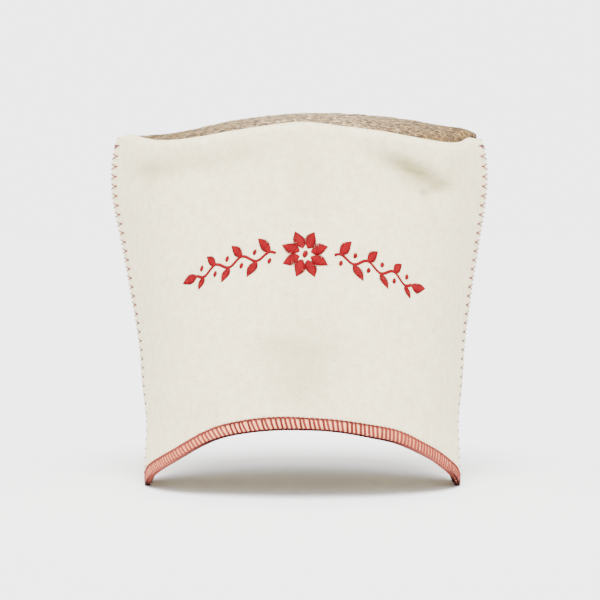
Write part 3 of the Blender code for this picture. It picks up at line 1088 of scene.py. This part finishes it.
def side_seam(end, label):
    """The zigzag over one side seam, from the hem up to its bar tack"""
    heights = [TACK_HEIGHT]
    while heights[-1] > SEAM_LOW + ZIGZAGS[0].pitch / 2:
        heights.append(heights[-1] - float(read_curve(ZIGZAGS, "pitch", heights[-1])) / 2)
    ends = []
    outs = []
    thick = []
    for step, height in enumerate(heights):
        side = BACK if step % 2 else FRONT
        spot, out = seam_spot(side, end, height, ZIGZAG_REACH)
        stem, _ = seam_spot(side, end, height, ZIGZAG_REACH + ZIGZAG_STEM)
        ends.append((spot, stem))
        thick.append(float(read_curve(ZIGZAGS, "knot", height)))
        for other in heights[max(step - 1, 0) : step + 2]:
            if other != height:
                ends.append((spot, seam_ridge(end, (height + other) / 2)))
                thick.append(float(read_curve(ZIGZAGS, "thread", height)))
        outs += [out] * (len(ends) - len(outs))
    name = f"{label}_seam_zigzag"
    zigzag = sew_straight(name, ends, outs, thick, zigzag_thread, stray=0.0, seed=11)
    ends = []
    outs = []
    for step in range(TACK_STITCHES):
        height = TACK_HEIGHT + (step - (TACK_STITCHES - 1) / 2) * TACK_STEP
        for side in (FRONT, BACK):
            spot, out = seam_spot(side, end, height, TACK_REACH)
            ends.append((spot, seam_ridge(end, height)))
            outs.append(out)
    name = f"{label}_seam_bar_tack"
    tack = sew_straight(name, ends, outs, TACK_THREAD, tack_thread, stray=0.0, seed=12)
    return [zigzag, tack]


def front_spots(places):
    """Points of the front panel from places on the ornament's arc, and the ways out of the felt"""
    across = places[:, 0] + ORNAMENT_MIDDLE
    height = read_curve(ARCS, "height", across) + places[:, 1]
    return face_spots(FRONT, np.interp(across, base_across, base_turn), height)


def heading(angle):
    """The way that an angle points in the flat"""
    return np.array((math.cos(math.radians(angle)), math.sin(math.radians(angle))))


def satin(centre, width, lean=SATIN_LEAN):
    """Threads laid across a line of points in the flat, each as wide as the shape is there"""
    centre = np.array(centre)
    lengths = path_lengths(centre)
    marks = np.arange(SATIN_STEP / 2, lengths[-1], SATIN_STEP)
    x = np.interp(marks, lengths, centre[:, 0])
    y = np.interp(marks, lengths, centre[:, 1])
    right, up = unit(np.stack((np.gradient(x), np.gradient(y)), axis=1)).T
    cosine, sine = heading(lean)
    across = np.stack((right * cosine - up * sine, right * sine + up * cosine), axis=1)
    half = np.array([width(mark / lengths[-1]) for mark in marks])[:, None] / 2
    spots = np.stack((x, y), axis=1)
    return spots - across * half, spots + across * half


def pointed(base, angle, length, width, lean=SATIN_LEAN):
    """A leaf or petal in satin stitch, pointed at both ends"""
    line = [np.array(base) + share * length * heading(angle) for share in (0, 0.5, 1)]
    return satin(
        line, lambda share: LEAF_TIP + width * math.sin(math.pi * share**LEAF_BELLY) ** LEAF_POINT, lean
    )


def dot(centre, size):
    """A round spot in satin stitch"""
    line = [(centre[0] + share * size / 2, centre[1]) for share in (-1, 0, 1)]
    return satin(line, lambda share: size * math.sqrt(max(DOT_END, 1 - (2 * share - 1) ** 2)))


def ornament():
    """The rosette and its two vines"""
    shapes = [dot((0.0, 0.0), EYE_SIZE)]
    for step in range(PETALS):
        angle = 360 * (step + 0.5) / PETALS
        shapes.append(pointed(PETAL_START * heading(angle), angle, PETAL_LENGTH, PETAL_WIDTH))
    for hand in (-1, 1):
        lean = hand * SATIN_LEAN
        outwards = 0 if hand > 0 else 180
        places = np.linspace(VINE_START, VINE_END, VINE_POINTS)
        wave = VINE_SWING * np.cos(math.pi * (places - LEAF_START) / LEAF_PITCH)
        shapes.append(satin(np.stack((hand * places, wave), axis=1), lambda share: VINE_WIDTH))
        for step in range(LEAF_COUNT):
            place = LEAF_START + step * LEAF_PITCH
            way = 1 if step % 2 == 0 else -1
            length = LEAF_LENGTH - step * LEAF_TAPER
            width = LEAF_WIDTH * length / LEAF_LENGTH
            base = (hand * place, way * VINE_SWING)
            shapes.append(pointed(base, outwards + hand * way * LEAF_ANGLE, length, width, lean))
            berry = (hand * (place + BERRY_SHIFT), way * (VINE_SWING - BERRY_REACH))
            shapes.append(dot(berry, BERRY_SIZE))
        end = (hand * VINE_END, wave[-1])
        shapes.append(pointed(end, outwards, LEAF_LENGTH, LEAF_WIDTH, lean))
    starts, finishes = (np.concatenate(parts) for parts in zip(*shapes))
    low, _ = front_spots(starts)
    high, _ = front_spots(finishes)
    _, outs = front_spots((starts + finishes) / 2)
    ends = list(zip(low, high))
    return sew_straight("front_ornament", ends, outs, SATIN_THREAD, satin_thread, stray=0.02, seed=13)


# The camera stands 1.25 m away and 2 degrees above level, where the photograph was taken from

AIM = Vector((0.0004, 0.0, 0.115))
DISTANCE = 1.25
ELEVATION = math.radians(2.0)
camera = add_object("camera", bpy.data.cameras.new("camera"))
camera.data.lens = 120
camera.data.sensor_width = 36
camera.location = AIM + DISTANCE * Vector((0.0, -math.cos(ELEVATION), math.sin(ELEVATION)))
camera.rotation_euler = (AIM - camera.location).to_track_quat("-Z", "Y").to_euler()
bpy.context.scene.camera = camera

white_felt = wool_felt()
brown_felt = coarse_felt()
# The hem's threads carry painted light and shade, from the tables of their colour changes
overlock_thread = sewing_thread("red_overlock_thread", "#501A18", "#76302C", 0.8, 9.0, OVERLOCK_PAINTED_LIGHT_AND_SHADE)
# The edge loops' near-black red is painted shade under the hem's edge
edge_thread = sewing_thread("dark_red_edge_thread", "#1C0305", "#3A080C", 0.9, 4.0, EDGE_PAINTED_SHADE)
zigzag_thread = sewing_thread("brown_red_zigzag_thread", "#5C1014", "#84262A", 0.7, 8.0, ZIGZAG_FADINGS)
tack_thread = sewing_thread("dark_red_tack_thread", "#5C3E42", "#7C585A", 0.8, 5.0)
satin_thread = sewing_thread("bright_red_satin_thread", "#58030A", "#7E0712", 0.6, 5.0)
white_fibre = wool_fibre("white_wool_fibre", "#E2D6B4", "#F2E9D2")
brown_fibre = wool_fibre("brown_kemp_fibre", "#382512", "#B49E76")

stitch = tube_pattern("plain_stitch", PLAIN_STITCH, THREAD_SIDES)
looper = overlock_stitch()
sewing = sewing_tree()
fuzzing = fuzz_tree()

front_felt = wall_panel("front_felt", FRONT, white_felt)
back_felt = wall_panel("back_felt", BACK, white_felt)
crown_felt = felt_object(sheet_mesh("crown_felt", *crown_grids(), closed=True), brown_felt)
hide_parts("front_panel")
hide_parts("back_panel")
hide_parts("crown_panel")

base_turn = np.linspace(-BASE_REACH, BASE_REACH, BASE_COUNT)
base_line = np.stack(outline(base_turn, ORNAMENT_BASE, 0.0), axis=1)
base_across = path_lengths(base_line)
base_across -= np.interp(0.0, base_line[:, 0], base_across)

threads = overlocked_hem(FRONT, "front") + overlocked_hem(BACK, "back")
threads += side_seam(-1, "left") + side_seam(1, "right") + [ornament()]

fine_fibre = tube_pattern("fine_fibre", FINE_FIBRE, FIBRE_SIDES)
coarse_fibre = tube_pattern("coarse_fibre", COARSE_FIBRE, FIBRE_SIDES)
fuzz = []
for felt, fibre, material, density, swing, seed, body_slot in (
    (front_felt, fine_fibre, white_fibre, 120000.0, math.pi, 21, "white_felt"),
    (back_felt, fine_fibre, white_fibre, 120000.0, math.pi, 22, "white_felt"),
    (crown_felt, coarse_fibre, brown_fibre, 90000.0, 0.5, 23, "grey_brown_felt"),
):
    values = {"Fibre": fibre, "Thread": material, "Spread": swing, "Seed": seed}
    values["Fibres per square metre"] = density
    piece = grow(felt.name + "_fuzz", felt.data.copy(), fuzzing, values)
    fuzz.append(piece)

for pattern in (stitch, looper, fine_fibre, coarse_fibre):
    bpy.data.objects.remove(pattern)

for piece in (front_felt, back_felt, crown_felt, *threads, *fuzz):
    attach(piece, "root")

# A plain white floor, which runs back into an equally white room

corners = [(x * FLOOR_HALF, y * FLOOR_HALF, -FLOOR_DROP) for x, y in ((-1, -1), (1, -1), (1, 1), (-1, 1))]
floor_mesh = bpy.data.meshes.new("floor")
floor_mesh.from_pydata(corners, [], [(0, 1, 2, 3)])
floor = add_object("floor", floor_mesh)
floor_material, floor_tree, floor_shader = new_material("white_studio_floor")
set_inputs(floor_tree, floor_shader, {"Base Color": colour("#F7F7F7"), "Roughness": 0.9})
floor_mesh.materials.append(floor_material)

world = bpy.data.worlds.new("white_room")
world.use_nodes = True
room_tree = world.node_tree
lit_room = room_tree.nodes["Background"]
set_inputs(room_tree, lit_room, {"Color": colour("#FFFFFF"), "Strength": ROOM_LIGHT})
# What the camera sees of the room is as white as the lit floor
seen = {"Color": colour("#FFFFFF"), "Strength": ROOM_SEEN}
seen_room = add_node(room_tree, "ShaderNodeBackground", seen)
in_view = add_node(room_tree, "ShaderNodeLightPath").outputs["Is Camera Ray"]
room = add_node(room_tree, "ShaderNodeMixShader", {0: in_view, 1: lit_room, 2: seen_room})
set_inputs(room_tree, room_tree.nodes["World Output"], {"Surface": room})
bpy.context.scene.world = world

for panel in PANELS:
    soft_light = bpy.data.lights.new(panel.name, "SUN")
    soft_light.energy = panel.energy
    soft_light.angle = math.radians(panel.spread)
    holder = add_object(panel.name, soft_light)
    holder.rotation_euler = Vector(panel.way).to_track_quat("-Z", "Y").to_euler()
